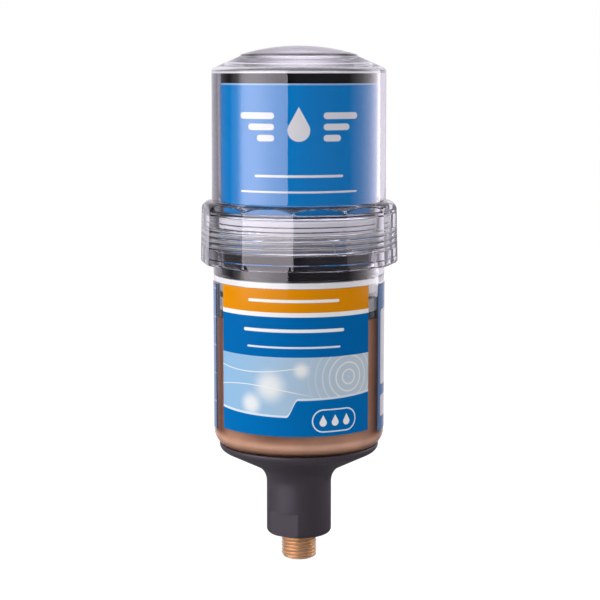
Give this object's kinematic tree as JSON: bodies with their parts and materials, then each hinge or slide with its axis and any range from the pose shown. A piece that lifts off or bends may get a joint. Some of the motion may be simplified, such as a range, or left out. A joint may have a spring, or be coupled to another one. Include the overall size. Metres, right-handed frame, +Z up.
{
  "type": "automatic lubricator",
  "caption": "Battery-driven single-point grease lubricator: clear canister with piston, geared drive unit under a clear screw-on cover, black flange and brass outlet thread.",
  "frame": {"origin": "on the axis, at the shoulder where the outlet thread leaves the flange's boss", "axes": "+Z up along the axis, from the outlet to the cover; -Y is the front, where the canister label faces"},
  "size_m": [0.073, 0.073, 0.1917],
  "materials": {
    "clear_plastic": "clear, polished",
    "black_plastic": "fine moulded grain",
    "flange_plastic": "satin moulded",
    "brass": "turned",
    "black_rubber": "smooth",
    "white_plastic": "moulded",
    "grease": "soft, greasy",
    "label_blue": "printed film",
    "steel": "machined",
    "gear_plastic": "moulded",
    "tray_plastic": "moulded",
    "cell_wrap": "wrapped",
    "board_green": "solder mask",
    "chip_black": "moulded",
    "lead_insulation": "insulated",
    "dial_plastic": "moulded",
    "green_lens": "lens",
    "yellow_lens": "lens",
    "red_lens": "lens"
  },
  "bodies": {
    "root": {"outlet_nipple": "brass", "support_flange": "flange_plastic", "outlet_seal": "black_rubber", "canister": "clear_plastic", "grease": "grease", "canister_label_front": "label_blue", "canister_label_back": "label_blue", "drive_housing": "black_plastic", "drive_base": "black_plastic", "drive_lid": "black_plastic", "drive_label": "label_blue", "status_window": "clear_plastic", "housing_screws": "steel", "battery_tray": "tray_plastic", "battery_cell_1": "cell_wrap", "battery_cell_2": "cell_wrap", "battery_cell_3": "cell_wrap", "battery_contacts": "steel", "battery_springs": "steel", "motor_can": "steel", "motor_leads": "lead_insulation", "gear_pins": "steel", "thrust_washer": "steel", "circuit_board": "board_green", "controller_chip": "chip_black", "led_green": "green_lens", "led_yellow": "yellow_lens", "led_red": "red_lens", "interval_switch": "chip_black", "volume_switch": "chip_black"},
    "nut": {"spindle_gear": "gear_plastic"},
    "pusher": {"spindle": "steel", "spindle_plate": "steel", "piston": "white_plastic", "piston_ring": "black_rubber", "piston_lip": "black_rubber"},
    "second_gear": {"gear_b": "gear_plastic"},
    "first_gear": {"gear_a": "gear_plastic"},
    "motor_rotor": {"motor_pinion": "gear_plastic"},
    "interval_knob": {"interval_dial": "dial_plastic"},
    "volume_knob": {"volume_dial": "dial_plastic"},
    "seal_ring": {"cover_seal": "black_rubber"},
    "cover": {"protective_cover": "clear_plastic"}
  },
  "joints": [
    {"name": "nut_turn", "type": "hinge", "parent": "root", "child": "nut", "pos_m": [0, 0, 0.1076], "axis": [0, 0, 1], "range_deg": [0, 7921]},
    {"name": "piston_feed", "type": "slide", "parent": "root", "child": "pusher", "axis": [0, 0, -1], "range_m": [0, 0.044], "deforming": ["grease"]},
    {"name": "second_gear_turn", "type": "hinge", "parent": "root", "child": "second_gear", "pos_m": [-0.01171, -0.00855, 0.1046], "axis": [0, 0, 1], "range_deg": [-38017, 0]},
    {"name": "first_gear_turn", "type": "hinge", "parent": "root", "child": "first_gear", "pos_m": [-0.01649, 0.00191, 0.1016], "axis": [0, 0, 1], "range_deg": [0, 136859]},
    {"name": "motor_turn", "type": "hinge", "parent": "root", "child": "motor_rotor", "pos_m": [-0.0128, 0.0128, 0.1016], "axis": [0, 0, 1], "range_deg": [-492689, 0]},
    {"name": "interval_dial_turn", "type": "hinge", "parent": "root", "child": "interval_knob", "pos_m": [0.0071, -0.0085, 0.1723], "axis": [0, 0, 1], "range_deg": [0, 330]},
    {"name": "volume_dial_turn", "type": "hinge", "parent": "root", "child": "volume_knob", "pos_m": [0.0071, 0.0085, 0.1723], "axis": [0, 0, 1], "range_deg": [0, 90]},
    {"name": "cover_turn", "type": "hinge", "parent": "root", "child": "seal_ring", "pos_m": [0, 0, 0.1212], "axis": [0, 0, 1], "range_deg": [0, 2160]},
    {"name": "cover_lift", "type": "slide", "parent": "seal_ring", "child": "cover", "axis": [0, 0, 1], "range_m": [0, 0.01278]}
  ],
  "couplings": [
    {"joint": "nut_turn", "follows": "piston_feed", "rad_per_m": 3141.6},
    {"joint": "second_gear_turn", "follows": "piston_feed", "rad_per_m": -15080},
    {"joint": "first_gear_turn", "follows": "piston_feed", "rad_per_m": 54287},
    {"joint": "motor_turn", "follows": "piston_feed", "rad_per_m": -195430},
    {"joint": "cover_lift", "follows": "cover_turn", "m_per_rad": 0.000339}
  ]
}
